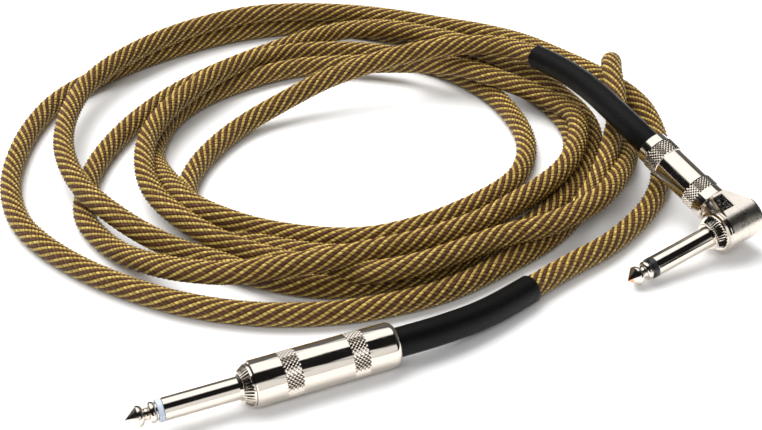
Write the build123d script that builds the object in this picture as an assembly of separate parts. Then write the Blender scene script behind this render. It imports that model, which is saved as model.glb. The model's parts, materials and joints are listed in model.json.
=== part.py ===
from build123d import *
import math
import os

# Braided quarter-inch instrument cable with one straight and one right-angle plug.
# It lies on a flat surface at z = 0 with its slack thrown in a loose coil.
# The origin is on that surface, under the middle of the box around the two plugs.

# ---- driving dimensions, mm ---------------------------------------------------------
CABLE_R = 3.5            # braided cover over the jacket
SHRINK_R = 4.2           # outside of the heat-shrink sleeving
SHRINK_GAP = 0.05        # between the sleeving and the cable
CORE_R = 1.5             # insulated centre conductor
CONDUCTOR_R = 0.5        # bare stranded end of the centre conductor
SHIELD_R = 0.7           # twisted end of the braided shield

FINGER_R = 3.175         # quarter-inch plug
FINGER_WALL_END = 30.2   # end of the finger's cylindrical wall
SHOULDER = 31.0          # tip to shoulder
TIP_END = 8.4            # tip contact to insulating ring
RING_END = 9.8           # insulating ring to sleeve contact
ROD_R = 1.1              # tip contact's rod through the plug
TUBE_R = 1.9             # insulating tube round that rod
FIT = 0.05               # clearance between pieces that are pressed or riveted together
THREAD_CLEARANCE = 0.08  # radial, between a handle's thread and its plug

# Straight plug, measured from the tip along its axis
HANDLE_R = 6.35
COLLAR_START_R = 4.3     # fluted collar between the shoulder and the handle
COLLAR_END_R = 5.8
COLLAR_END = 33.8
HANDLE_START = 33.9
HANDLE_END = 76.0
THREAD_R = 4.9
THREAD_END = 38.5
STRAIGHT_JACKET = 56.0   # where the cable's jacket ends inside the handle
STRAIGHT_SHRINK = 64.5   # where the sleeving starts
STRAIGHT_BEND = 89.3     # first bend of the cable
STRAIGHT_SHRINK_REACH = 36.0  # how far the sleeving goes past the first bend of the route

# Right-angle plug: the finger is measured from its tip, the handle from the head's centre
HEAD_AT = 41.0           # tip to the handle's axis
COLLAR_R = 6.6
BODY_START = 36.3
SEAM_AT = 42.0           # between the head's body and its cover
HEAD_END = 48.8
HEAD_R = 6.5
NECK_R = 4.6
NECK_TOP = 8.2
ANGLE_HANDLE_R = 5.75
ANGLE_HANDLE_END = 37.9
ANGLE_THREAD_R = 4.4
ANGLE_THREAD_END = 14.0
ANGLE_JACKET = 22.0
ANGLE_SHRINK = 29.0
ANGLE_BEND = 50.0
ANGLE_SHRINK_REACH = 24.6  # how far the sleeving goes past the second bend of the route

COIL_HEIGHT = 12.0

# ---- where the two plugs lie --------------------------------------------------------
STRAIGHT_TIP = Vector(-91.2, -88.6, HANDLE_R)
STRAIGHT_HEADING = math.radians(24.5)
STRAIGHT_AXIS = Vector(math.cos(STRAIGHT_HEADING), math.sin(STRAIGHT_HEADING), 0)

HEAD_CENTRE = Vector(81, -2, 9.2)
FINGER_BACK = Vector(0.838, 0.525, 0.146).normalized()     # from the tip to the head
HANDLE_UP = Vector(-0.544, 0.799, 0.2555)                  # from the head to the cable
HANDLE_UP = (HANDLE_UP - FINGER_BACK * HANDLE_UP.dot(FINGER_BACK)).normalized()

STRAIGHT_FRAME = Plane(origin=STRAIGHT_TIP, x_dir=(0, 0, 1), z_dir=STRAIGHT_AXIS)
FINGER_FRAME = Plane(origin=HEAD_CENTRE - FINGER_BACK * HEAD_AT, x_dir=HANDLE_UP, z_dir=FINGER_BACK)
ANGLE_FRAME = Plane(origin=HEAD_CENTRE, x_dir=FINGER_BACK, z_dir=HANDLE_UP)

# ---- the cable's route, outside the coil --------------------------------------------
STRAIGHT_ROUTE = [
    STRAIGHT_TIP + STRAIGHT_AXIS * STRAIGHT_JACKET,
    STRAIGHT_TIP + STRAIGHT_AXIS * STRAIGHT_BEND,
    Vector(29, -18, 3.9),
    Vector(47, 2, 3.6),
    Vector(62, 27, 3.5),
    Vector(69, 53, 3.6),
    Vector(66, 78, 5.5),
]
ANGLE_ROUTE = [
    HEAD_CENTRE + HANDLE_UP * ANGLE_JACKET,
    HEAD_CENTRE + HANDLE_UP * ANGLE_BEND,
    Vector(42.5, 67.5, 22.5),
    Vector(26.5, 93, 20.3),
    Vector(15.5, 101.5, 19.5),
    Vector(2, 105, 19),
    Vector(-11.5, 103.5, 18.5),
    Vector(-29, 97.5, 16.5),
    Vector(-46, 89.5, 12.5),
    Vector(-60, 80, 8),
]

COIL_OUTER = [
    (-152, 62), (-146, 91), (-127, 120), (-95, 142), (-57, 153.5), (-19, 148), (21, 132), (51, 104),
    (68, 82), (67, 64), (59, 46), (52, 21), (31, -3), (-1, -31), (-37, -43.5), (-71, -43),
    (-109, -27), (-137, 0), (-149, 30),
]
COIL_INNER = [
    (-84.5, 28), (-81, 47), (-69, 71), (-44, 87), (-17, 94), (4, 96.5), (14, 84), (20.5, 59),
    (13, 33), (-11, 10), (-41, 1.5), (-73, 7),
]

pieces = {}


def add(name, shape, frame=None):
    """Keep one piece under its node name, moved from its plug's own frame."""
    pieces[name] = frame.location * shape if frame else shape


def turned(profile):
    """A solid turned about the Z axis from (radius, height) points."""
    points = [(r, 0, z) for r, z in profile]
    return revolve(make_face(Polyline(*points, close=True)), Axis.Z)


def rod(radius, start, end):
    return Pos(0, 0, start) * Cylinder(radius, end - start, align=(Align.CENTER, Align.CENTER, Align.MIN))


def tube(outer, inner, start, end):
    return rod(outer, start, end) - rod(inner, start - 1, end + 1)


def block(size_x, size_y, start, end, at_x=0.0):
    box = Box(size_x, size_y, end - start, align=(Align.CENTER, Align.CENTER, Align.MIN))
    return Pos(at_x, 0, start) * box


def route_radii(points):
    """Each arc takes 0.45 of the shorter of its two runs."""
    radii = []
    for before, here, after in zip(points, points[1:], points[2:]):
        turn = math.radians((here - before).get_angle(after - here))
        shorter = min((here - before).length, (after - here).length)
        radii.append(0.45 * shorter / math.tan(turn / 2))
    return radii


def along(wire, outer, inner=None):
    """A round bar or tube that follows a route."""
    start = Plane(origin=wire @ 0, z_dir=wire % 0)
    section = Circle(outer) if inner is None else Circle(outer) - Circle(inner)
    return sweep(start * section, path=wire)


# ---- contacts shared by both plugs --------------------------------------------------
def tip_contact(rod_end):
    """Cone, waist and bead of the tip, and the rod that carries it through the plug."""
    cone = Line((0, 0, 0), (2.95, 0, 3.1))
    nose = ThreePointArc(cone @ 1, (2.75, 0, 4.2), (1.75, 0, 5.0))
    waist = ThreePointArc(nose @ 1, (1.7, 0, 5.6), (2.4, 0, 6.2))
    bead = ThreePointArc(waist @ 1, (2.95, 0, 7.1), (2.5, 0, 8.0))
    rest = Polyline(bead @ 1, (2.5, 0, TIP_END), (ROD_R, 0, TIP_END), (ROD_R, 0, rod_end), (0, 0, rod_end))
    axis = Line(rest @ 1, cone @ 0)
    return revolve(make_face([cone, nose, waist, bead, rest, axis]), Axis.Z)


def insulator(end):
    """Moulded ring behind the tip, in one piece with the tube round the rod."""
    ring = tube(FINGER_R, ROD_R + FIT, TIP_END + FIT, RING_END)
    return ring + tube(TUBE_R, ROD_R + FIT, RING_END, end)


def shaft_bore(end):
    """The hole through a plug finger for the insulated rod."""
    return rod(TUBE_R + FIT, 0, end)


def cable_clamp(strip_start, ring_start, ring_end, inner):
    """Ground tag: a strip along the plug that ends in two ears bent round the jacket."""
    thick, width = 0.6, 3.0
    ears = tube(inner + thick, inner, ring_start, ring_end)
    mouth = block(2 * inner, width, ring_start - 1, ring_end + 1, at_x=-inner)
    strip = block(thick, width, strip_start, ring_start + 1, at_x=inner + thick / 2)
    return ears - mouth + (strip - rod(inner, strip_start - 1, ring_end))


# ---- straight plug ------------------------------------------------------------------
def straight_finger():
    """Sleeve contact: finger, collar and threaded stub, bored for the rod."""
    turned_shape = turned([
        (0, RING_END + FIT), (FINGER_R - 0.15, RING_END + FIT), (FINGER_R, RING_END + 0.2),
        (FINGER_R, FINGER_WALL_END), (3.9, SHOULDER), (COLLAR_START_R, SHOULDER),
        (COLLAR_END_R, COLLAR_END - 0.6), (COLLAR_END_R, COLLAR_END), (THREAD_R, COLLAR_END),
        (THREAD_R, THREAD_END), (0, THREAD_END),
    ])
    return turned_shape - shaft_bore(THREAD_END + 1)


def straight_handle():
    """Turned barrel: threaded mouth, plain bore for the liner, rounded back."""
    outside = turned([
        (0, HANDLE_START), (HANDLE_R - 0.4, HANDLE_START), (HANDLE_R, HANDLE_START + 0.4),
        (HANDLE_R, HANDLE_END), (0, HANDLE_END),
    ])
    back = outside.edges().filter_by(GeomType.CIRCLE).sort_by(Axis.Z)[-1]
    outside = fillet(back, 2.2)
    hollow = turned([
        (0, 30), (THREAD_R + THREAD_CLEARANCE, 30), (THREAD_R + THREAD_CLEARANCE, 39.0),
        (5.25, 39.0), (5.25, HANDLE_END - 3.2), (4.6, HANDLE_END - 2.4), (4.6, 80), (0, 80),
    ])
    return outside - hollow


def straight_plug():
    put = lambda name, shape: add("straight_" + name, shape, STRAIGHT_FRAME)
    put("tip_contact", tip_contact(42.0) + rod(1.8, 40.6, 41.3))
    put("insulator", insulator(38.45))
    put("finger", straight_finger())
    put("fibre_washer", tube(4.2, TUBE_R + 0.1, THREAD_END + FIT, 39.3))
    put("tip_washer", tube(3.4, ROD_R + FIT, 39.35, 39.85))
    lug = block(2.6, 3.6, 39.9, 40.5) - rod(ROD_R + FIT, 39, 41)
    lug += block(0.6, 2.4, 39.9, 48.0, at_x=-1.6)
    put("tip_lug", lug - rod(1.8 + FIT, 40.55, 41.35) - rod(ROD_R + FIT, 41, 43))
    put("handle", straight_handle())
    put("liner", tube(5.15, 4.75, 39.6, 70.0))
    put("cable_clamp", cable_clamp(39.4, 57.5, 63.0, CABLE_R + SHRINK_GAP))
    put("core", rod(CORE_R, 49.0, STRAIGHT_JACKET - FIT))
    put("conductor", Pos(-0.75, 0, 0) * rod(CONDUCTOR_R, 45.0, 48.95))
    put("shield_pigtail", Pos(2.75, 0, 0) * rod(SHIELD_R, 47.0, STRAIGHT_JACKET - FIT))
    put("tip_solder", Pos(-2.35, 0, 46.2) * Sphere(0.95) & block(4, 4, 44, 49, at_x=-3.95))
    put("ground_solder", Pos(2.55, 0, 46.0) * Sphere(0.95))


# ---- right-angle plug ---------------------------------------------------------------
def angle_finger():
    """Sleeve contact with a conical collar and the ring that seats on the head."""
    turned_shape = turned([
        (0, RING_END + FIT), (FINGER_R - 0.15, RING_END + FIT), (FINGER_R, RING_END + 0.2),
        (FINGER_R, SHOULDER), (4.1, SHOULDER + 0.2), (5.9, 34.0), (5.9, 34.4), (COLLAR_R, 34.7), (COLLAR_R, 35.3),
        (COLLAR_R - 0.25, 35.5), (COLLAR_R, 35.7), (COLLAR_R, BODY_START - FIT),
        (4.4, BODY_START - FIT), (4.4, 38.3), (0, 38.3),
    ])
    return turned_shape - shaft_bore(39)


def head_block(start, end):
    """The head's rounded outline, drawn across the finger axis and as deep as asked."""
    flats = Rectangle(NECK_TOP, 2 * HEAD_R, align=(Align.MIN, Align.CENTER))
    return extrude(Pos(0, 0, start) * (Circle(HEAD_R) + flats), amount=end - start)


def shoulder_cut(side, foot, head):
    """Wedge that slopes the head's shoulder from the neck down to an outer face."""
    outline = Polyline((NECK_TOP + 1, 0, head), (NECK_TOP, 0, head), (-0.5, 0, foot),
                       (-0.5, 0, foot + side * 6), (NECK_TOP + 1, 0, foot + side * 6), close=True)
    return Pos(0, 20, 0) * extrude(make_face(outline), amount=40, dir=(0, -1, 0))


def angle_head():
    """Body and cover of the head in the finger's frame, both cleared for the wiring."""
    cavity = rod(4.0, 38.0, 47.6)
    neck = Pos(0, 0, HEAD_AT) * Rot(0, 90, 0) * (rod(NECK_R, 0, NECK_TOP) + rod(ANGLE_THREAD_R, 0, ANGLE_THREAD_END))
    passage = Pos(0, 0, HEAD_AT) * Rot(0, 90, 0) * rod(2.9, 0, ANGLE_THREAD_END + 1)
    body = head_block(BODY_START, SEAM_AT) - shoulder_cut(-1, BODY_START + 0.6, 38.6)
    recess = Pos(4.2, HEAD_R, (BODY_START + SEAM_AT) / 2 + 0.5) * Box(4.6, 0.5, 3.8)
    body = body + neck - cavity - passage - rod(4.45, 30, 38.4) - recess
    cover = head_block(SEAM_AT + FIT, HEAD_END)
    cover = fillet(cover.faces().sort_by(Axis.Z)[-1].edges(), 1.2) - shoulder_cut(1, HEAD_END, 43.6)
    neck_room = Pos(0, 0, HEAD_AT) * Rot(0, 90, 0) * rod(NECK_R + FIT, 0, 30)
    return body, cover - cavity - neck_room


def angle_handle():
    """Turned barrel of the right-angle plug, threaded on the head's neck."""
    outside = turned([
        (0, NECK_TOP + 0.3), (ANGLE_HANDLE_R - 0.4, NECK_TOP + 0.3), (ANGLE_HANDLE_R, NECK_TOP + 0.7),
        (ANGLE_HANDLE_R, ANGLE_HANDLE_END - 0.4), (ANGLE_HANDLE_R - 0.4, ANGLE_HANDLE_END), (0, ANGLE_HANDLE_END),
    ])
    hollow = turned([
        (0, 5), (ANGLE_THREAD_R + THREAD_CLEARANCE, 5), (ANGLE_THREAD_R + THREAD_CLEARANCE, 14.4),
        (4.95, 14.4), (4.95, 34.2), (4.6, 34.6), (4.6, 50), (0, 50),
    ])
    return outside - hollow


def angle_plug():
    finger = lambda name, shape: add("angle_" + name, shape, FINGER_FRAME)
    barrel = lambda name, shape: add("angle_" + name, shape, ANGLE_FRAME)
    finger("tip_contact", tip_contact(42.2) + rod(1.7, 41.0, 41.6))
    finger("insulator", insulator(38.25))
    finger("finger", angle_finger())
    body, cover = angle_head()
    finger("head_body", body)
    finger("head_cover", cover)
    finger("fibre_washer", tube(3.7, TUBE_R + 0.1, 38.45, 39.15))
    finger("tip_washer", tube(3.0, ROD_R + FIT, 39.2, 39.7))
    lug = block(3.2, 3.2, 39.75, 40.35, at_x=0.6) - rod(ROD_R + FIT, 39, 41)
    lug += Pos(0, 0, 40.05) * Rot(0, 90, 0) * block(0.6, 2.4, 1.4, 18.0)
    finger("tip_lug", lug - rod(1.7 + FIT, 40.95, 43))
    barrel("handle", angle_handle())
    barrel("liner", tube(4.85, 4.55, 15.0, 33.0))
    barrel("cable_clamp", cable_clamp(14.1, 23.2, 28.4, CABLE_R + SHRINK_GAP))
    barrel("core", rod(CORE_R, 19.2, ANGLE_JACKET - FIT))
    barrel("conductor", Pos(-0.1, 0, 0) * rod(CONDUCTOR_R, 16.4, 19.15))
    barrel("shield_pigtail", Pos(2.75, 0, 0) * rod(SHIELD_R, 17.0, ANGLE_JACKET - FIT))
    barrel("tip_solder", Pos(0.25, 0, 15.5) * Sphere(0.85))
    barrel("ground_solder", Pos(2.55, 0, 16.0) * Sphere(0.95))


# ---- cable, sleeving and coil -------------------------------------------------------
def cable_lead(name, route):
    radii = route_radii(route)
    wire = FilletPolyline(*route, radius=radii)
    lead = along(wire, CABLE_R)
    print(name, "length", round(wire.length, 1), "radii", [round(r) for r in radii])
    print(name, "volume over section x length", round(lead.volume / (math.pi * CABLE_R**2 * wire.length), 4))
    add(name, lead)
    return radii


def sleeving(name, points, radii):
    wire = FilletPolyline(*points, radius=radii)
    add(name, along(wire, SHRINK_R, CABLE_R + SHRINK_GAP))
    print(name, "length", round(wire.length, 1))


def coil():
    """Outer shape of the loosely thrown turns."""
    outer = make_face(Spline(*COIL_OUTER, periodic=True))
    inner = make_face(Spline(*COIL_INNER, periodic=True))
    return extrude(outer - inner, amount=COIL_HEIGHT)


straight_plug()
angle_plug()
straight_radii = cable_lead("straight_lead", STRAIGHT_ROUTE)
angle_radii = cable_lead("angle_lead", ANGLE_ROUTE)



def past(route, corner, distance):
    """A point on the run that leaves a corner of the route."""
    return route[corner] + (route[corner + 1] - route[corner]).normalized() * distance


sleeving("straight_heat_shrink",
         [STRAIGHT_TIP + STRAIGHT_AXIS * STRAIGHT_SHRINK, STRAIGHT_ROUTE[1],
          past(STRAIGHT_ROUTE, 1, STRAIGHT_SHRINK_REACH)],
         straight_radii[:1])
sleeving("angle_heat_shrink",
         [HEAD_CENTRE + HANDLE_UP * ANGLE_SHRINK, ANGLE_ROUTE[1], ANGLE_ROUTE[2],
          past(ANGLE_ROUTE, 2, ANGLE_SHRINK_REACH)],
         angle_radii[:2])
add("coil", coil())

os.makedirs("parts", exist_ok=True)
for node, shape in pieces.items():
    export_step(shape, f"parts/{node}.step")
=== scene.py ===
import bpy
import json
import math
import numpy as np
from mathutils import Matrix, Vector


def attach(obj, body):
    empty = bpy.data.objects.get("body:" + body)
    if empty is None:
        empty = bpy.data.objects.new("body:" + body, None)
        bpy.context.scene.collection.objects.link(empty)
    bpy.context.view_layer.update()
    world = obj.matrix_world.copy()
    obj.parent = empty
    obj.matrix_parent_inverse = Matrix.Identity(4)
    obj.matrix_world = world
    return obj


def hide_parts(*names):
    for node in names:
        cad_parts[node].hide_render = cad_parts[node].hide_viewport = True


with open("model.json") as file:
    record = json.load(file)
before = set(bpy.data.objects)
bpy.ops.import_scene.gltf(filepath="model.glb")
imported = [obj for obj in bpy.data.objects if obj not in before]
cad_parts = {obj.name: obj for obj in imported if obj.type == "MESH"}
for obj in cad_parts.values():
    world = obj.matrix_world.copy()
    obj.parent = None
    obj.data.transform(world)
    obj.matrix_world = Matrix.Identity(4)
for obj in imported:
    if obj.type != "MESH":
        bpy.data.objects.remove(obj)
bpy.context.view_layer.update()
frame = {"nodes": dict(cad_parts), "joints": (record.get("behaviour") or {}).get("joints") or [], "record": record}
nodes = frame["nodes"]

# ---------------------------------------------------------------------------------------
# The cable: one length of 7 mm lead in a woven cover of gold and brown yarn.
# It leaves the straight plug, goes round the coil, doubles back in a fold behind the
# right-angle plug's sleeving and ends in that plug. Places are centreline points in mm.
# ---------------------------------------------------------------------------------------
CABLE_RADIUS = 0.0035
YARNS = 16              # carriers each way round the cover
LAY = 0.034             # length in which one yarn goes once round the cable

outside_turn = [
    (-40.2, -65.4, 6.35), (-20.5, -56.4, 6.35), (-9.9, -51.6, 6.35), (4, -42, 5), (20, -26, 3.9),
    (31, -16, 3.9), (43, -6, 3.6), (53, 6, 3.6), (60, 17, 3.5), (65, 29, 3.5), (67.5, 41, 3.5),
    (69, 53, 3.6), (69, 65, 4.5), (66, 76, 8), (58, 86, 10.5), (50, 97, 10.5), (41, 108, 10),
    (28, 122, 10), (12, 131, 10), (-2, 136, 10), (-19, 143, 10), (-42, 149, 10), (-71, 149, 10),
    (-90, 141, 10), (-108, 127, 10), (-123, 108, 10), (-132, 87, 10), (-134, 68, 10),
    (-133, 50, 10), (-129, 34, 10.5), (-121, 17, 10.5), (-111, 5, 10), (-98, -6, 8),
    (-85, -11, 4.5), (-76, -14, 4), (-64, -22, 4), (-50, -27, 4), (-38, -28, 4), (-26, -25, 4),
    (-13, -21, 4), (0, -12, 4),
]
second_turn = [
    (12, -2, 4), (21, 6, 3.8), (30, 17, 3.6), (36.5, 27, 3.6), (41, 37, 3.6), (45, 50, 3.6),
    (47.5, 62, 3.8), (45, 72, 6), (38, 81, 9), (30, 93, 10.5), (20, 107, 10.5), (7, 119, 10.5),
    (-8, 127, 10.5), (-22, 133, 10.5), (-35, 137, 8.5), (-47, 140, 5), (-60, 133, 4),
    (-79, 117, 4), (-98, 98, 3.6), (-111, 76, 3.6), (-119, 54, 3.6), (-122, 35, 3.6),
    (-121, 17, 3.6), (-118, 6, 3.6), (-107, -9, 4), (-95, -20, 7), (-83, -28, 10),
    (-69, -31, 11), (-55, -29.5, 12.5), (-41, -28, 14), (-28, -21.5, 12.5), (-12, -12.5, 10.5),
    (4, -3, 10.5), (15, 7, 10.5), (26, 18.5, 10.5), (34, 30, 10.5), (39, 43, 10.5),
    (41.5, 56, 10.5), (41, 68, 9.5), (35.5, 77.5, 8), (26, 86, 9), (13, 94, 10.5),
    (2, 101, 10.5), (-10, 106, 9), (-24, 112, 6),
]
inner_turns = [
    (-43, 115, 4), (-58, 113, 4), (-73, 105, 4), (-91, 90, 3.6), (-100, 74, 3.6),
    (-103, 57, 3.6), (-102, 45, 4), (-98, 32, 7), (-91, 17, 10), (-85, 7, 10.5), (-75, 1.5, 9),
    (-63, 0, 5.5), (-46, -2, 3.8), (-29, -2, 3.6), (-11, 6, 3.6), (6, 19, 3.6), (18, 32, 3.6),
    (23, 46, 3.6), (24, 60, 3.6), (21, 76, 3.6), (15, 92, 3.6), (3, 108, 3.6), (-11, 119, 3.6),
    (-26, 126, 3.6), (-42, 128, 3.6), (-58, 125, 4.5), (-70, 115, 7), (-80, 102, 10.5),
    (-90, 87, 11), (-99, 70, 11), (-104, 52, 10.5), (-104, 38, 10.5), (-101, 22, 10.5),
    (-95, 9, 10.5), (-86, -1, 9.5), (-76, -8, 7.5), (-63, -12, 4.5), (-52, -15, 3.6),
    (-42, -21, 5.5), (-36, -25.5, 8), (-28, -29, 10), (-16, -27, 11), (-3, -19, 10.5),
    (11, -10, 10.5), (23, -6, 10.5), (34, 2, 10.5), (44, 12, 10.5), (51, 26, 9.5), (55.5, 40, 7),
    (58, 52, 4.2),
]
fold_back = [
    (59.5, 64, 3.5), (60.5, 76, 3.5), (60, 85, 3.5), (59, 92.5, 4.2), (58, 97, 9),
    (56.8, 95, 15.5), (55.8, 87.5, 19), (55, 77, 18.3), (55, 66, 15), (54, 57, 12),
    (51.5, 48, 10.8), (49, 39, 10.5), (46, 30, 9),
]
last_turns = [
    (41, 20, 6.5), (34, 9, 4), (25, -3, 3.6), (9, -17, 3.6), (-5, -28, 3.6), (-20, -35, 3.6),
    (-38, -40, 3.6), (-59, -41, 3.6), (-80, -37, 3.6), (-98, -29, 3.6), (-114, -19, 3.6),
    (-129, -6, 3.6), (-140, 8, 3.6), (-147, 28, 3.6), (-149, 48, 3.6), (-148, 68, 3.6),
    (-143, 88, 3.6), (-130, 107, 3.6), (-110, 127, 3.6), (-84, 144, 3.6), (-58, 151, 3.6),
    (-39, 149, 3.6), (-24, 143, 3.6), (-9, 136, 3.6), (5, 127, 3.5), (17, 114, 3.5),
    (27, 99, 3.5), (34, 86, 3.5), (38.5, 74, 3.5), (40.5, 61, 3.5), (38.5, 48, 3.5),
    (33.5, 36, 3.5), (25, 25, 3.5), (12, 13, 3.5), (-2, 3, 3.5), (-17, -6, 3.5), (-32, -11, 3.5),
    (-46, -10.5, 3.5), (-61, -6, 3.5), (-75, 0.5, 3.5), (-86, 10, 3.5), (-89.5, 24, 3.6),
    (-88, 40, 3.6), (-82, 56, 3.6), (-73.5, 70, 4), (-61, 80, 7), (-45, 88, 12.5),
]
up_to_angle_plug = [
    (-29, 93, 16), (-11.5, 98, 18.5), (2, 101, 19), (15.5, 100.5, 19.5), (26.5, 93, 20.3),
    (42.5, 67.5, 22.5), (53.8, 37.9, 22), (61.4, 26.8, 18.4), (69, 15.6, 14.8),
]
cable_points = (outside_turn + second_turn + inner_turns + fold_back + last_turns
                + up_to_angle_plug)


def place_object(name, data):
    """A new object in the scene with this mesh, curve, lamp or camera."""
    placed = bpy.data.objects.new(name, data)
    bpy.context.scene.collection.objects.link(placed)
    return placed


cable_curve = bpy.data.curves.new("cable_line", "CURVE")
cable_curve.dimensions = "3D"
cable_curve.resolution_u = 24
spline = cable_curve.splines.new("NURBS")
spline.points.add(len(cable_points) - 1)
for control, place in zip(spline.points, cable_points):
    control.co = (place[0] / 1000, place[1] / 1000, place[2] / 1000, 1)
spline.order_u = 3
spline.use_endpoint_u = True
line_object = place_object("cable_line", cable_curve)
line_mesh = bpy.data.meshes.new_from_object(line_object)
line = np.array([tuple(v.co) for v in line_mesh.vertices])
bpy.data.objects.remove(line_object)
bpy.data.meshes.remove(line_mesh)

line_runs = np.linalg.norm(np.diff(line, axis=0), axis=1)
SAME_PLACE = 1e-7       # the spline gives some points twice
line = line[np.concatenate([[True], line_runs > SAME_PLACE])]
line_reach = np.concatenate([[0], np.cumsum(np.linalg.norm(np.diff(line, axis=0), axis=1))])
CABLE_LENGTH = float(line_reach[-1])
FINE_STEP = 0.0005      # step in which the cross directions are carried along the cable


def cable_places(reaches):
    """Centres and two cross directions that don't twist, at lengths along the cable."""
    fine = np.arange(0, CABLE_LENGTH, FINE_STEP)
    centres = np.stack([np.interp(fine, line_reach, line[:, k]) for k in range(3)], axis=1)
    ahead = np.gradient(centres, axis=0)
    ahead /= np.linalg.norm(ahead, axis=1)[:, None]
    side = np.zeros_like(ahead)
    side[0] = np.cross(ahead[0], (0, 0, 1))
    for k in range(1, len(side)):
        side[k] = side[k - 1] - ahead[k] * np.dot(side[k - 1], ahead[k])
        side[k] /= np.linalg.norm(side[k])
    centres, ahead, side = [np.stack([np.interp(reaches, fine, rows[:, k]) for k in range(3)], axis=1)
                            for rows in (centres, ahead, side)]
    side /= np.linalg.norm(side, axis=1)[:, None]
    return centres, side, np.cross(ahead, side)


def tube_places(reaches, radii):
    """Places round the cable: a row of radii for each length along it."""
    centres, side, up = cable_places(reaches)
    turn = np.arange(radii.shape[1]) * 2 * math.pi / radii.shape[1]
    spokes = (np.cos(turn)[None, :, None] * side[:, None, :]
              + np.sin(turn)[None, :, None] * up[:, None, :])
    return (centres[:, None, :] + spokes * radii[:, :, None]).reshape(-1, 3)


def woven_piece(name, places, faces, woven, materials, finishes):
    """A smooth piece whose corners keep their length along and their share of a turn."""
    mesh = bpy.data.meshes.new(name)
    mesh.from_pydata([tuple(p) for p in places], [], faces)
    layer = mesh.uv_layers.new(name="weave")
    layer.data.foreach_set("uv", np.array(woven, dtype=np.float32).ravel())
    for material in materials:
        mesh.materials.append(material)
    mesh.polygons.foreach_set("material_index", finishes)
    mesh.polygons.foreach_set("use_smooth", [True] * len(mesh.polygons))
    mesh.update()
    return place_object(name, mesh)


def feed(tree, socket, value):
    """Link a socket to another one, or set its value."""
    if isinstance(value, bpy.types.NodeSocket):
        tree.links.new(value, socket)
    else:
        socket.default_value = value


def put(tree, kind, settings=None, **sockets):
    """Add a shader node, set its properties, and set or link its inputs by name."""
    node = tree.nodes.new("ShaderNode" + kind)
    for key, value in (settings or {}).items():
        setattr(node, key, value)
    for key, value in sockets.items():
        feed(tree, node.inputs[key.replace("_", " ")], value)
    return node


def calc(tree, operation, *values, clamp=False):
    """One Math node."""
    node = tree.nodes.new("ShaderNodeMath")
    node.operation, node.use_clamp = operation, clamp
    for socket, value in zip(node.inputs, values):
        feed(tree, socket, value)
    return node.outputs[0]


def noise(tree, size, detail, **sockets):
    """A three-dimensional noise value."""
    return put(tree, "TexNoise", {"noise_dimensions": "3D"}, Scale=size, Detail=detail,
               **sockets).outputs[0]


def blend_of(tree, share, low, high):
    """Low where share is 0 and high where it is 1, for colours."""
    node = tree.nodes.new("ShaderNodeMix")
    node.data_type = "RGBA"
    feed(tree, node.inputs[0], share)
    for socket, colour in ((node.inputs[6], low), (node.inputs[7], high)):
        feed(tree, socket, (*colour, 1) if isinstance(colour, tuple) else colour)
    return node.outputs[2]


def spread(tree, value, low, high, to_low=0.0, to_high=1.0):
    """A clamped linear change of range."""
    node = put(tree, "MapRange", Value=value, From_Min=low, From_Max=high,
               To_Min=to_low, To_Max=to_high)
    return node.outputs[0]


def finish_group(name, inputs, outputs):
    """An empty shader node group with named inputs and outputs."""
    group = bpy.data.node_groups.new(name, "ShaderNodeTree")
    for label, kind, value in inputs:
        socket = group.interface.new_socket(name=label, in_out="INPUT", socket_type=kind)
        if value is not None:
            socket.default_value = value
    for label, kind in outputs:
        group.interface.new_socket(name=label, in_out="OUTPUT", socket_type=kind)
    return group, group.nodes.new("NodeGroupInput"), group.nodes.new("NodeGroupOutput")


def place_group(tree, group, **values):
    """Put a finish group into a material with that material's own values."""
    node = tree.nodes.new("ShaderNodeGroup")
    node.node_tree = group
    for key, value in values.items():
        feed(tree, node.inputs[key], value)
    return node


def new_material(name):
    """A material with its node tree and its one Principled shader."""
    material = bpy.data.materials.new(name)
    material.use_nodes = True
    return material, material.node_tree, material.node_tree.nodes["Principled BSDF"]


def relief(tree, shader, height, strength, depth):
    """Small relief on a material's surface."""
    bump = put(tree, "Bump", Height=height, Strength=strength, Distance=depth)
    tree.links.new(bump.outputs[0], shader.inputs["Normal"])


# Weave: equal yarns wound both ways round, pale and dark in turn, each over one and
# under one. Where the pale and dark yarns meet that way, the colours line up in spirals.
# The group works out each pick's rounded height, how near its crown a place is, and a tone of the pick's own with
# painted shade on the picks where the second yarn lies on top.
weave, entry, result = finish_group(
    "plain_weave",
    [("Place", "NodeSocketVector", None), ("Yarns", "NodeSocketFloat", 16.0),
     ("Lay", "NodeSocketFloat", 0.03)],
    [("Height", "NodeSocketFloat"), ("Crown", "NodeSocketFloat"), ("Tone and painted shade", "NodeSocketFloat")])
place = put(weave, "SeparateXYZ", Vector=entry.outputs["Place"])
along = calc(weave, "MULTIPLY", calc(weave, "DIVIDE", place.outputs[0], entry.outputs["Lay"]),
             entry.outputs["Yarns"])
about = calc(weave, "MULTIPLY", place.outputs[1], entry.outputs["Yarns"])
first = calc(weave, "ADD", along, about)
second = calc(weave, "SUBTRACT", along, about)
first_yarn, second_yarn = calc(weave, "FLOOR", first), calc(weave, "FLOOR", second)
first_across = calc(weave, "SUBTRACT", calc(weave, "FRACT", first), 0.5)
second_across = calc(weave, "SUBTRACT", calc(weave, "FRACT", second), 0.5)
second_over = calc(weave, "FLOORED_MODULO", calc(weave, "ADD", first_yarn, second_yarn), 2.0)
lean = calc(weave, "MULTIPLY", calc(weave, "SUBTRACT", second_across, first_across), second_over)
across = calc(weave, "ADD", first_across, lean)
lengthwise = calc(weave, "SUBTRACT", second_across, lean)


def crown_of(value, half_width):
    """Round section of a yarn: 1 in its middle, 0 at half its width."""
    share = calc(weave, "DIVIDE", value, half_width)
    room = calc(weave, "SUBTRACT", 1.0, calc(weave, "MULTIPLY", share, share), clamp=True)
    return calc(weave, "SQRT", room)


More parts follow.
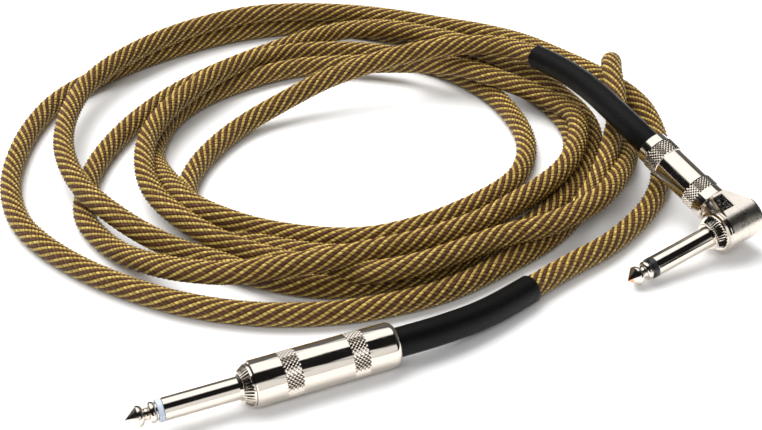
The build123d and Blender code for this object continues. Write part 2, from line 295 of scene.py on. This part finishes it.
HALF_YARN, HALF_PICK = 0.53, 0.66   # of the yarns' spacing, across and along a yarn
FIBRES = 3.0                        # strands seen across one yarn
crown = calc(weave, "MULTIPLY", crown_of(across, HALF_YARN), crown_of(lengthwise, HALF_PICK))
fibres = calc(weave, "SINE", calc(weave, "MULTIPLY", across, 2 * math.pi * FIBRES))
height = calc(weave, "ADD", crown, calc(weave, "MULTIPLY", fibres, 0.06))
tone_place = put(weave, "CombineXYZ", X=first_yarn, Y=second_yarn)
tone = put(weave, "TexWhiteNoise", {"noise_dimensions": "2D"}, Vector=tone_place.outputs[0])
weave.links.new(height, result.inputs["Height"])
weave.links.new(crown, result.inputs["Crown"])
# Painted shade: picks where the second yarn lies on top are made 45% darker, as if they caught less light.
crossing_shade = calc(weave, "SUBTRACT", 1.0, calc(weave, "MULTIPLY", second_over, 0.45))
weave.links.new(calc(weave, "MULTIPLY", spread(weave, tone.outputs["Value"], 0.0, 1.0, 0.35, 1.0),
                     crossing_shade), result.inputs["Tone and painted shade"])


def yarn_colour(name, deep, bright, gloss):
    """Glossy twisted yarn, with painted shade where it dips under its neighbour and on the picks that cross the
    other way.
    """
    material, tree, shader = new_material(name)
    woven_place = put(tree, "UVMap", {"uv_map": "weave"})
    cover = place_group(tree, weave, Place=woven_place.outputs[0], Yarns=float(YARNS), Lay=LAY)
    yarn = blend_of(tree, cover.outputs["Tone and painted shade"], deep, bright)
    # Painted shade: the base colour turns to near black (0.020, 0.007, 0.0015) towards each pick's edges, where
    # the yarn dips under its neighbour.
    gap_shade = spread(tree, cover.outputs["Crown"], 0.30, 0.95)
    tree.links.new(blend_of(tree, gap_shade, (0.020, 0.007, 0.0015), yarn), shader.inputs["Base Color"])
    tree.links.new(spread(tree, cover.outputs["Crown"], 0.2, 1.0, 0.7, gloss),
                   shader.inputs["Roughness"])
    shader.inputs["Specular IOR Level"].default_value = 0.35
    relief(tree, shader, cover.outputs["Height"], 1.0, 0.00055)
    return material


PICK_CROWN, PICK_DIP = 0.00012, 0.00032     # above and below the cable's radius


def woven_tube(name, materials):
    """The cover itself: every pick is a small crowned diamond of four faces.

    A face belongs to the pick at its one crowned corner. The picks of one slanting row
    share a material, and the rows take the two materials in turn."""
    reaches = np.arange(0, CABLE_LENGTH, LAY / YARNS / 2)
    around = 2 * YARNS
    crowns = (np.arange(len(reaches))[:, None] + np.arange(around)[None, :]) % 2
    places = tube_places(reaches, CABLE_RADIUS + np.where(crowns, PICK_CROWN, -PICK_DIP))
    faces, woven, dark = [], [], []
    for ring in range(len(reaches) - 1):
        for k in range(around):
            corners = [(ring, k), (ring, k + 1), (ring + 1, k + 1), (ring + 1, k)]
            if crowns[ring, k]:
                corners = corners[1:] + corners[:1]
            for three in ((0, 1, 2), (0, 2, 3)):
                face = [corners[n] for n in three]
                top = [(row, beside) for row, beside in face if (row + beside) % 2][0]
                faces.append([row * around + beside % around for row, beside in face])
                woven += [(reaches[row], beside / around) for row, beside in face]
                dark.append((top[0] + top[1] - 1) // 2 % 2)
    for ring, order in ((0, range(around - 1, -1, -1)), (len(reaches) - 1, range(around))):
        faces.append([ring * around + k for k in order])
        woven += [(reaches[ring], k / around) for k in order]
        dark.append(0)
    return woven_piece(name, places, faces, woven, materials, dark)


cable = woven_tube("cable", [
    yarn_colour("gold_yarn", (0.30, 0.190, 0.035), (0.76, 0.550, 0.150), 0.36),
    yarn_colour("brown_yarn", (0.062, 0.023, 0.008), (0.160, 0.066, 0.027), 0.42)])
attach(cable, "root")
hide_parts("straight_lead", "coil", "angle_lead")

# ---------------------------------------------------------------------------------------
# Heat-shrink sleeving: black tube shrunk over the cable behind each plug. It is thin
# enough for the woven cover to print through, and its cut end stands off a little.
# ---------------------------------------------------------------------------------------
SLEEVING_RADIUS = 0.0042
sleeving_black, tree, shader = new_material("shrunk_sleeving")
woven_place = put(tree, "UVMap", {"uv_map": "weave"})
printed = place_group(tree, weave, Place=woven_place.outputs[0], Yarns=float(YARNS), Lay=LAY)
pulled = noise(tree, 900.0, 4.0)
soft_waves = noise(tree, 160.0, 2.0)
tree.links.new(blend_of(tree, spread(tree, soft_waves, 0.35, 0.65),
                        (0.0012, 0.0012, 0.0014), (0.0030, 0.0030, 0.0034)),
               shader.inputs["Base Color"])
tree.links.new(spread(tree, pulled, 0.3, 0.7, 0.27, 0.38), shader.inputs["Roughness"])
surface = calc(tree, "ADD", calc(tree, "MULTIPLY", printed.outputs["Crown"], 0.35),
               calc(tree, "MULTIPLY", pulled, 0.35))
shader.inputs["Specular IOR Level"].default_value = 0.14
relief(tree, shader, surface, 0.8, 0.0002)

SLEEVING_BORE = CABLE_RADIUS + 0.00004
RIM = 0.0002            # rounding of each cut end
RING_STEP = 0.001       # about this far from one ring of corners to the next
SLEEVING_SIDES = 48


def sleeving(name, start, end, node):
    """Sleeving between two lengths along the cable, with a rounded rim at each end."""
    outside = np.linspace(start + RIM, end - RIM, int((end - start) / RING_STEP))
    reaches = [start, *outside, end, *np.linspace(end, start, len(outside))]
    radii = ([SLEEVING_RADIUS - RIM] + [SLEEVING_RADIUS] * len(outside) + [SLEEVING_RADIUS - RIM]
             + [SLEEVING_BORE] * len(outside))
    places = tube_places(np.array(reaches), np.tile(np.array(radii)[:, None], SLEEVING_SIDES))
    faces, woven = [], []
    for ring in range(len(reaches)):
        after = (ring + 1) % len(reaches)
        for k in range(SLEEVING_SIDES):
            corners = ((ring, k), (ring, k + 1), (after, k + 1), (after, k))
            faces.append([row * SLEEVING_SIDES + beside % SLEEVING_SIDES for row, beside in corners])
            woven += [(reaches[row], beside / SLEEVING_SIDES) for row, beside in corners]
    piece = woven_piece(name, places, faces, woven, [sleeving_black], [0] * len(faces))
    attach(piece, "root")
    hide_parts(node)
    return piece


# Each sleeving starts a little way inside its barrel. The lengths are measured from the
# cable's nearer end.
straight_sleeving = sleeving("straight_sleeving", 0.0085, 0.0690, "straight_heat_shrink")
angle_sleeving = sleeving("angle_sleeving", CABLE_LENGTH - 0.0840, CABLE_LENGTH - 0.0072,
                          "angle_heat_shrink")

# ---------------------------------------------------------------------------------------
# Nickel: the fingers, collars and barrels are turned brass with polished nickel plate.
# Fine lathe lines run round each piece, and handling leaves hair scratches and haze.
# ---------------------------------------------------------------------------------------
NICKEL, WARM_NICKEL = (0.76, 0.735, 0.70), (0.75, 0.672, 0.580)


def plate_tone(warmth):
    """Nickel's colour, from neutral at 0 to its warmest at 1."""
    return tuple(a + (b - a) * warmth for a, b in zip(NICKEL, WARM_NICKEL))


def along_line(tree, place, direction):
    """How far a place lies along a direction, which may be a value or a socket."""
    product = put(tree, "VectorMath", {"operation": "DOT_PRODUCT"})
    feed(tree, product.inputs[0], place)
    feed(tree, product.inputs[1], direction)
    return product.outputs["Value"]


plate, entry, result = finish_group(
    "plated_surface",
    [("Axis", "NodeSocketVector", (0, 0, 1)), ("Haze", "NodeSocketFloat", 0.1)],
    [("Roughness", "NodeSocketFloat"), ("Height", "NodeSocketFloat")])
spot = put(plate, "TexCoord").outputs["Object"]
lathe_lines = put(plate, "TexNoise", {"noise_dimensions": "1D"},
                  W=along_line(plate, spot, entry.outputs["Axis"]), Scale=9000.0, Detail=3.0)
smears = noise(plate, 220.0, 5.0, Vector=spot)
grain = noise(plate, 4200.0, 2.0, Vector=spot)
haze = calc(plate, "ADD", entry.outputs["Haze"],
            calc(plate, "MULTIPLY", spread(plate, smears, 0.4, 0.75), 0.10))
plate.links.new(haze, result.inputs["Roughness"])
plate.links.new(calc(plate, "ADD", calc(plate, "MULTIPLY", lathe_lines.outputs[0], 0.7),
                     calc(plate, "MULTIPLY", grain, 0.3)), result.inputs["Height"])


def nickel(name, axis, haze, depth):
    """Nickel plate with its lathe lines round the given axis."""
    material, tree, shader = new_material(name)
    surface = place_group(tree, plate, Axis=tuple(axis), Haze=haze)
    shader.inputs["Base Color"].default_value = (*plate_tone(0.75), 1)
    shader.inputs["Metallic"].default_value = 1.0
    tree.links.new(surface.outputs["Roughness"], shader.inputs["Roughness"])
    relief(tree, shader, surface.outputs["Height"], depth, 0.00002)
    return material


def wear(material, *names):
    """Give CAD nodes their finish."""
    for name in names:
        mesh = nodes[name].data
        mesh.materials.clear()
        mesh.materials.append(material)


SHARP = math.radians(38)
SKIN = 0.5              # depth in mm that counts as the outside of a knurled band


def lathe_piece(name, origin, axis, outline, around, cut=None, knurled=()):
    """A turned piece from a closed outline of (along, radius) in mm.

    cut moves a point to a new (along, radius), and the outside of knurled bands stays faceted."""
    axis = Vector(axis).normalized()
    side = axis.orthogonal().normalized()
    up = axis.cross(side)
    places, faces, smooth = [], [], []
    for along, radius in outline:
        for k in range(around):
            turn = 2 * math.pi * k / around
            z, r = cut(along, k / around, radius) if cut else (along, radius)
            spoke = side * math.cos(turn) + up * math.sin(turn)
            places.append(origin + (axis * z + spoke * r) / 1000)
    for ring, (along, radius) in enumerate(outline):
        after = (ring + 1) % len(outline)
        middle = (along + outline[after][0]) / 2
        outer = min(radius, outline[after][1]) > outline[0][1] - SKIN
        faceted = outer and any(start < middle < end for start, end, _ in knurled)
        for k in range(around):
            beside = (k + 1) % around
            corners = [ring * around + k, ring * around + beside,
                       after * around + beside, after * around + k]
            if faceted:
                # Split each face along its valley, so that the pyramids keep their edges.
                out = [(places[n] - origin).length_squared
                       - ((places[n] - origin).dot(axis)) ** 2 for n in corners]
                if out[0] + out[2] > out[1] + out[3]:
                    corners = corners[1:] + corners[:1]
                faces += [corners[:3], [corners[0], corners[2], corners[3]]]
            else:
                faces.append(corners)
            smooth += [not faceted] * (len(faces) - len(smooth))
    mesh = bpy.data.meshes.new(name)
    mesh.from_pydata([tuple(p) for p in places], [], faces)
    mesh.polygons.foreach_set("use_smooth", smooth)
    mesh.update()
    mesh.set_sharp_from_angle(angle=SHARP)
    return place_object(name, mesh)


def saw(turns):
    """1 at each whole turn, falling evenly to 0 half way to the next."""
    return abs(2 * (turns % 1.0) - 1)


def knurl(bands, teeth, deep):
    """Diamond knurling: two sets of crossing V grooves that leave rows of small pyramids.

    The tool raises the metal a little, so a quarter of the depth stands above the bar."""
    def cut(along, share, radius):
        for start, end, rows in bands:
            if start - 0.001 <= along <= end + 0.001 and radius > 5:
                across = share * teeth
                lengthwise = (along - start) / (end - start) * rows
                crest = min(saw(across + lengthwise), saw(across - lengthwise))
                return along, radius + deep * (0.25 - (1 - crest))
        return along, radius
    return cut


def knurl_rows(bands, radius):
    """Outline points through each band, four to each row of pyramids."""
    return [[(z, radius) for z in np.linspace(start, end, rows * 4 + 1)]
            for start, end, rows in bands]


def steps(start, end, pitch):
    """Even places from start to end, about a pitch apart."""
    return list(np.linspace(start, end, max(2, int(round((end - start) / pitch)) + 1)))


# ---------------------------------------------------------------------------------------
# Straight plug: the tip contact and a finger with a fluted collar, then a barrel that
# screws on behind it, over the wiring. The barrel has two knurled bands, a chamfered mouth
# and a rounded back. Lengths run from the plug's tip.
# ---------------------------------------------------------------------------------------
FINGER_RADIUS = 3.175
TURN_AT = 50.0          # where the barrel's hinge stands
joints = {joint["name"]: joint for joint in frame["joints"]}
straight_axis = Vector(joints["straight_handle_slide"]["axis"]).normalized()
turn_centre = Vector(joints["straight_handle_turn"]["pos_m"])
straight_tip = turn_centre - straight_axis * TURN_AT / 1000

straight_nickel = nickel("straight_nickel", straight_axis, 0.075, 0.35)
wear(straight_nickel, "straight_tip_contact")

CONE_START, CONE_END = 31.0, 33.2
CONE_START_RADIUS, CONE_END_RADIUS = 4.3, 5.8
SLOTS = 34
SLOT_DEPTH = 0.55
THREAD_START, THREAD_END = 33.9, 38.4
THREAD_RADIUS, THREAD_DEPTH, THREAD_PITCH = 4.9, 0.35, 1.0


def collar_and_thread(along, share, radius):
    """Flutes down the collar's cone, and the thread that the barrel runs on."""
    if CONE_START + 0.05 < along < CONE_END - 0.05 and radius > 4.2:
        slot = min(1.0, max(0.0, 2.5 * (1 - saw(share * SLOTS)) - 0.8))
        window = min(1.0, (along - CONE_START) / 0.3, (CONE_END - along) / 0.3)
        return along + 0.3 * slot * window, radius - SLOT_DEPTH * slot * window
    if THREAD_START + 0.1 < along < THREAD_END - 0.1 and radius > 4.5:
        return along, radius - THREAD_DEPTH * (1 - saw(along / THREAD_PITCH + share))
    return along, radius


cone_slope = (CONE_END_RADIUS - CONE_START_RADIUS) / (CONE_END - CONE_START)
finger = [(9.85, 1.95), (9.85, 3.02), (10.0, FINGER_RADIUS), (20.0, FINGER_RADIUS),
          (30.2, FINGER_RADIUS), (CONE_START, 3.9), (CONE_START, CONE_START_RADIUS)]
finger += [(z, CONE_START_RADIUS + (z - CONE_START) * cone_slope)
           for z in steps(CONE_START + 0.1, CONE_END - 0.1, 0.25)]
finger += [(CONE_END, CONE_END_RADIUS), (33.8, CONE_END_RADIUS), (33.8, THREAD_RADIUS)]
finger += [(z, THREAD_RADIUS) for z in steps(THREAD_START, THREAD_END, 0.2)]
finger += [(38.5, 4.6), (38.5, 1.95)]
straight_finger = lathe_piece("straight_fluted_finger", straight_tip, straight_axis, finger,
                              SLOTS * 6, collar_and_thread)
straight_finger.data.materials.append(straight_nickel)
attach(straight_finger, "root")
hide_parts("straight_finger")

HANDLE_RADIUS = 6.35
BACK_ROUND, BACK_ROUND_AT = 2.2, 73.8
STRAIGHT_TEETH = 34
straight_bands = ((42.2, 46.9, 4), (61.4, 66.1, 4))     # start, end and rows of pyramids
near_band, far_band = knurl_rows(straight_bands, HANDLE_RADIUS)
barrel = [(33.9, HANDLE_RADIUS - 0.35)] + [(z, HANDLE_RADIUS) for z in (34.2, 38.0, 42.1)]
barrel += near_band + [(z, HANDLE_RADIUS) for z in (47.0, 54.0, 61.3)]
barrel += far_band + [(z, HANDLE_RADIUS) for z in (66.2, 70.0)]
barrel += [(BACK_ROUND_AT + BACK_ROUND * math.sin(a), HANDLE_RADIUS - BACK_ROUND * (1 - math.cos(a)))
           for a in steps(0, math.radians(77), math.radians(9))]
barrel += [(75.9, 4.6), (73.6, 4.6), (72.8, 5.25), (39.0, 5.25), (39.0, 4.98), (33.9, 4.98)]
straight_barrel = lathe_piece("straight_barrel", straight_tip, straight_axis, barrel,
                              STRAIGHT_TEETH * 4, knurl(straight_bands, STRAIGHT_TEETH, 0.27),
                              straight_bands)
straight_barrel.data.materials.append(nickel("barrel_nickel", straight_axis, 0.07, 0.3))
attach(straight_barrel, "straight_handle_body")
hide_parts("straight_handle")

# ---------------------------------------------------------------------------------------
# Right-angle plug: a finger with a fluted collar riveted into a small cast head, and a
# slimmer knurled barrel that screws on the head's neck and points along the cable. Lengths
# run from the tip on the finger, and from the head's centre on the barrel.
# ---------------------------------------------------------------------------------------
ANGLE_TURN_AT = 20.0    # where the barrel's hinge stands, from the head's centre
HEAD_AT = 41.0          # finger's tip to the barrel's axis
angle_axis = Vector(joints["angle_handle_slide"]["axis"]).normalized()
head_centre = Vector(joints["angle_handle_turn"]["pos_m"]) - angle_axis * ANGLE_TURN_AT / 1000
finger_pin = [m for m in frame["record"]["mounts"] if m["name"] == "angle_plug_finger"][0]
finger_axis = -Vector(finger_pin["axis"]).normalized()
finger_tip = head_centre - finger_axis * HEAD_AT / 1000

ANGLE_BARREL_RADIUS = 5.75
WAIST = ANGLE_BARREL_RADIUS - 0.3
ANGLE_TEETH = 31
angle_bands = ((12.0, 16.2, 4), (29.6, 34.4, 4))
head_band, cable_band = knurl_rows(angle_bands, ANGLE_BARREL_RADIUS)
barrel = [(8.5, ANGLE_BARREL_RADIUS - 0.4), (8.9, ANGLE_BARREL_RADIUS), (11.8, ANGLE_BARREL_RADIUS)]
barrel += head_band + [(16.4, ANGLE_BARREL_RADIUS), (16.6, WAIST), (22.0, WAIST), (29.2, WAIST),
                       (29.4, ANGLE_BARREL_RADIUS)]
barrel += cable_band + [(34.6, ANGLE_BARREL_RADIUS), (34.8, WAIST), (37.6, WAIST),
                        (37.9, WAIST - 0.3), (37.9, 4.6), (34.6, 4.6), (34.2, 4.95),
                        (14.4, 4.95), (14.4, 4.48), (8.5, 4.48)]
angle_barrel = lathe_piece("angle_barrel", head_centre, angle_axis, barrel, ANGLE_TEETH * 4,
                           knurl(angle_bands, ANGLE_TEETH, 0.24), angle_bands)
angle_barrel.data.materials.append(nickel("angle_barrel_nickel", angle_axis, 0.09, 0.3))
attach(angle_barrel, "angle_handle_body")
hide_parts("angle_handle")

FLUTES = 38
FLUTE_DEPTH = 0.45
FLUTED_START, FLUTED_END = 31.2, 34.0
FLUTED_START_RADIUS, FLUTED_END_RADIUS = 4.1, 5.9


def flutes(along, share, radius):
    """Radial serrations on the collar's cone, as a toothed washer has."""
    if FLUTED_START + 0.1 < along < FLUTED_END - 0.1 and radius > 3.5:
        groove = 1 - saw(share * FLUTES)
        window = min(1.0, (along - FLUTED_START) / 0.4, (FLUTED_END - along) / 0.4)
        return along + 0.25 * groove * window, radius - FLUTE_DEPTH * groove * window
    return along, radius


collar_slope = (FLUTED_END_RADIUS - FLUTED_START_RADIUS) / (FLUTED_END - FLUTED_START)
collar = [(9.85, 1.95), (9.85, 3.02), (10.0, FINGER_RADIUS), (20.0, FINGER_RADIUS),
          (30.0, FINGER_RADIUS), (30.6, 3.24), (31.0, 3.24), (31.0, FLUTED_START_RADIUS),
          (FLUTED_START, FLUTED_START_RADIUS)]
collar += [(z, FLUTED_START_RADIUS + (z - FLUTED_START) * collar_slope)
           for z in steps(FLUTED_START + 0.06, FLUTED_END - 0.06, 0.3)]
collar += [(FLUTED_END, FLUTED_END_RADIUS), (34.4, FLUTED_END_RADIUS), (34.7, 6.6), (35.3, 6.6),
           (35.5, 6.35), (35.7, 6.6), (36.25, 6.6), (36.25, 4.4), (38.3, 4.4), (38.3, 1.95)]
angle_finger = lathe_piece("angle_collar_finger", finger_tip, finger_axis, collar, FLUTES * 6, flutes)
angle_finger.data.materials.append(nickel("angle_finger_nickel", finger_axis, 0.08, 0.3))
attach(angle_finger, "root")
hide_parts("angle_finger")

# The cast head: satin plate with a fine grain, in two pieces. The body has a rough,
# blackened recess beside the barrel, which is marked out by distances along three axes.
HEAD_RADIUS = 6.5
PLATE_EDGE = 0.0001     # width in which the plate's edge turns dark
head_side = finger_axis.cross(angle_axis)
cast, tree, shader = new_material("cast_head_nickel")
surface = place_group(tree, plate, Axis=tuple(finger_axis), Haze=0.24)
pits = put(tree, "TexVoronoi", {"feature": "F1"}, Scale=2600.0)
spot = put(tree, "TexCoord").outputs["Object"]
inside = 1.0
for direction, origin, at, reach in ((angle_axis, head_centre, 4.5, 2.9),
                                     (head_side, head_centre, HEAD_RADIUS, 0.9),
                                     (finger_axis, finger_tip, 39.4, 2.3)):
    offset = calc(tree, "SUBTRACT", along_line(tree, spot, tuple(direction)),
                  origin.dot(direction) + at / 1000)
    within = spread(tree, calc(tree, "ABSOLUTE", offset), reach / 1000 - PLATE_EDGE, reach / 1000,
                    1.0, 0.0)
    inside = calc(tree, "MULTIPLY", within, inside)
coarse = noise(tree, 2600.0, 4.0, Vector=spot)
blackened = blend_of(tree, spread(tree, coarse, 0.52, 0.68), (0.004, 0.004, 0.004), (0.42, 0.39, 0.35))
tree.links.new(blend_of(tree, inside, plate_tone(0.7), blackened), shader.inputs["Base Color"])
tree.links.new(calc(tree, "ADD", surface.outputs["Roughness"],
                    calc(tree, "MULTIPLY", inside, 0.25)), shader.inputs["Roughness"])
shader.inputs["Metallic"].default_value = 1.0
grainy = calc(tree, "ADD", calc(tree, "ADD", surface.outputs["Height"],
                                calc(tree, "MULTIPLY", pits.outputs["Distance"], 0.4)),
              calc(tree, "MULTIPLY", calc(tree, "MULTIPLY", inside, coarse), 12.0))
relief(tree, shader, grainy, 0.35, 0.00003)
wear(cast, "angle_head_body", "angle_head_cover")

# Tip contact: the right-angle plug's nose has lost its nickel and shows copper.
WORN_FROM, WORN_TO = 0.0021, 0.0026     # from the very tip, along a ragged edge
worn_tip, tree, shader = new_material("worn_tip")
surface = place_group(tree, plate, Axis=tuple(finger_axis), Haze=0.09)
spot = put(tree, "TexCoord").outputs["Object"]
from_tip = put(tree, "VectorMath", {"operation": "DISTANCE"})
feed(tree, from_tip.inputs[0], spot)
feed(tree, from_tip.inputs[1], tuple(finger_tip))
edge = calc(tree, "ADD", from_tip.outputs["Value"],
            calc(tree, "MULTIPLY", noise(tree, 900.0, 4.0, Vector=spot), 0.0010))
worn = spread(tree, edge, WORN_FROM, WORN_TO, 1.0, 0.0)
tree.links.new(blend_of(tree, worn, plate_tone(0.5), (0.74, 0.36, 0.20)),
               shader.inputs["Base Color"])
tree.links.new(surface.outputs["Roughness"], shader.inputs["Roughness"])
shader.inputs["Metallic"].default_value = 1.0
relief(tree, shader, surface.outputs["Height"], 0.3, 0.00002)
wear(worn_tip, "angle_tip_contact")

# ---------------------------------------------------------------------------------------
# Insulators: moulded rings between tip and finger, milky white on the straight plug and
# black on the right-angle one, with the faint flow marks of moulded plastic.
# ---------------------------------------------------------------------------------------
def moulded(name, pale, dark, rough, clear=0.0, scale=700.0, depth=0.15):
    """Plastic with a slow change of tone and a fine moulded skin."""
    material, tree, shader = new_material(name)
    skin = noise(tree, scale * 8, 2.0)
    tree.links.new(blend_of(tree, spread(tree, noise(tree, scale, 3.0), 0.3, 0.7), dark, pale),
                   shader.inputs["Base Color"])
    tree.links.new(spread(tree, skin, 0.3, 0.7, rough - 0.05, rough + 0.06),
                   shader.inputs["Roughness"])
    shader.inputs["Subsurface Weight"].default_value = clear
    shader.inputs["Subsurface Radius"].default_value = (0.002, 0.002, 0.002)
    relief(tree, shader, skin, depth, 0.00003)
    return material


wear(moulded("milky_insulator", (0.58, 0.65, 0.76), (0.44, 0.51, 0.62), 0.28, clear=0.2),
     "straight_insulator")
wear(moulded("black_insulator", (0.022, 0.022, 0.024), (0.010, 0.010, 0.011), 0.32),
     "angle_insulator")

# ---------------------------------------------------------------------------------------
# Inside the barrels: fibre washers, riveted tip washers and lugs, the ground clamp round
# the cable's jacket, the stripped core and shield with their solder, and a plastic liner.
# ---------------------------------------------------------------------------------------
PLUGS = ("straight_", "angle_")
wear(moulded("vulcanised_fibre", (0.34, 0.10, 0.07), (0.22, 0.06, 0.04), 0.6, scale=1500.0, depth=0.4),
     *[plug + "fibre_washer" for plug in PLUGS])
wear(moulded("liner_tube", (0.80, 0.78, 0.70), (0.68, 0.66, 0.58), 0.35, clear=0.2),
     *[plug + "liner" for plug in PLUGS])
wear(moulded("core_insulation", (0.88, 0.86, 0.80), (0.78, 0.75, 0.68), 0.35, clear=0.2),
     *[plug + "core" for plug in PLUGS])


def metal(name, pale, dark, rough, scale, depth):
    """Plain unplated metal with a mottled tone."""
    material, tree, shader = new_material(name)
    mottle = noise(tree, scale, 4.0)
    tree.links.new(blend_of(tree, spread(tree, mottle, 0.35, 0.65), dark, pale),
                   shader.inputs["Base Color"])
    tree.links.new(spread(tree, mottle, 0.3, 0.7, rough - 0.06, rough + 0.1),
                   shader.inputs["Roughness"])
    shader.inputs["Metallic"].default_value = 1.0
    relief(tree, shader, mottle, depth, 0.00005)
    return material


wear(metal("tinned_brass", (0.74, 0.70, 0.58), (0.62, 0.55, 0.38), 0.3, 900.0, 0.3),
     *[plug + part for plug in PLUGS for part in ("tip_washer", "tip_lug", "cable_clamp")])
wear(metal("soft_solder", (0.72, 0.72, 0.74), (0.55, 0.55, 0.58), 0.28, 1200.0, 0.5),
     *[plug + part for plug in PLUGS for part in ("tip_solder", "ground_solder")])
wear(metal("copper_strand", (0.80, 0.42, 0.26), (0.58, 0.26, 0.14), 0.3, 3000.0, 0.8),
     *[plug + part for plug in PLUGS for part in ("conductor", "shield_pigtail")])

# ---------------------------------------------------------------------------------------
# Floor, light and camera: a flat white sheet under two soft lamps, with round white cards
# that only the metal shows clearly. The camera looks down on the coil from the front.
# ---------------------------------------------------------------------------------------
FLOOR_REACH = 3.0
floor_mesh = bpy.data.meshes.new("floor")
floor_mesh.from_pydata([(FLOOR_REACH * x, FLOOR_REACH * y, 0)
                        for x, y in ((-1, -1), (1, -1), (1, 1), (-1, 1))], [], [(0, 1, 2, 3)])
floor = place_object("floor", floor_mesh)
paper, tree, shader = new_material("white_paper")
tree.links.new(blend_of(tree, noise(tree, 400.0, 3.0), (0.86, 0.86, 0.86), (0.90, 0.90, 0.90)),
               shader.inputs["Base Color"])
shader.inputs["Roughness"].default_value = 0.9
shader.inputs["Specular IOR Level"].default_value = 0.1
floor_mesh.materials.append(paper)


def hidden_lamp(name, place, width, depth, watts):
    """A soft lamp that lights the set without showing in the metal."""
    lamp = bpy.data.lights.new(name, "AREA")
    lamp.shape, lamp.size, lamp.size_y, lamp.energy = "RECTANGLE", width, depth, watts
    stand = place_object(name, lamp)
    stand.location = place
    stand.rotation_euler = (-Vector(place)).to_track_quat("-Z", "Y").to_euler()
    stand.visible_glossy = False


hidden_lamp("front_fill", (-0.1, -0.9, 0.9), 1.0, 0.6, 8)
hidden_lamp("back_key", (-0.4, 0.45, 1.0), 1.3, 1.1, 20)

world = bpy.data.worlds.new("studio")
world.use_nodes = True
bpy.context.scene.world = world
sky = world.node_tree
toward = put(sky, "TexCoord").outputs["Generated"]
CARD_EDGE = 3           # soft edge of a card, in degrees


def card(direction, half_angle, brightness):
    """A round white card seen in the metal, facing the object from that direction."""
    facing = along_line(sky, toward, tuple(Vector(direction).normalized()))
    return spread(sky, facing, math.cos(math.radians(half_angle + CARD_EDGE)),
                  math.cos(math.radians(half_angle - CARD_EDGE)), 0.0, brightness)


heading = put(sky, "SeparateXYZ", Vector=toward)
back_wall = calc(sky, "MULTIPLY", spread(sky, heading.outputs[1], -0.1, 0.3, 0.0, 0.16),
                 spread(sky, heading.outputs[2], 0.75, 0.35))
studio_light = calc(sky, "ADD", back_wall, 0.012)
for direction, half_angle, brightness in (((-0.332, 0.332, 0.883), 36, 1.5),
                                          ((0.16, 0.44, 0.883), 20, 1.4),
                                          ((0.62, -0.72, 0.29), 17, 1.0)):
    studio_light = calc(sky, "MAXIMUM", studio_light, card(direction, half_angle, brightness))
shade = put(sky, "CombineColor", Red=studio_light, Green=studio_light, Blue=studio_light)
sky.links.new(shade.outputs[0], sky.nodes["Background"].inputs["Color"])
bpy.context.scene.view_settings.view_transform = "Standard"

camera_data = bpy.data.cameras.new("camera")
camera_data.sensor_width = 36.0
camera_data.lens = 66.14
camera_data.clip_start = 0.01
camera = place_object("camera", camera_data)
LOOK_AT = Vector((-0.026, 0.017, 0.0))
ELEVATION = math.radians(33)
CAMERA_DISTANCE = 0.448
camera.location = LOOK_AT + Vector((0, -math.cos(ELEVATION), math.sin(ELEVATION))) * CAMERA_DISTANCE
camera.rotation_euler = (LOOK_AT - camera.location).to_track_quat("-Z", "Y").to_euler()
bpy.context.scene.camera = camera
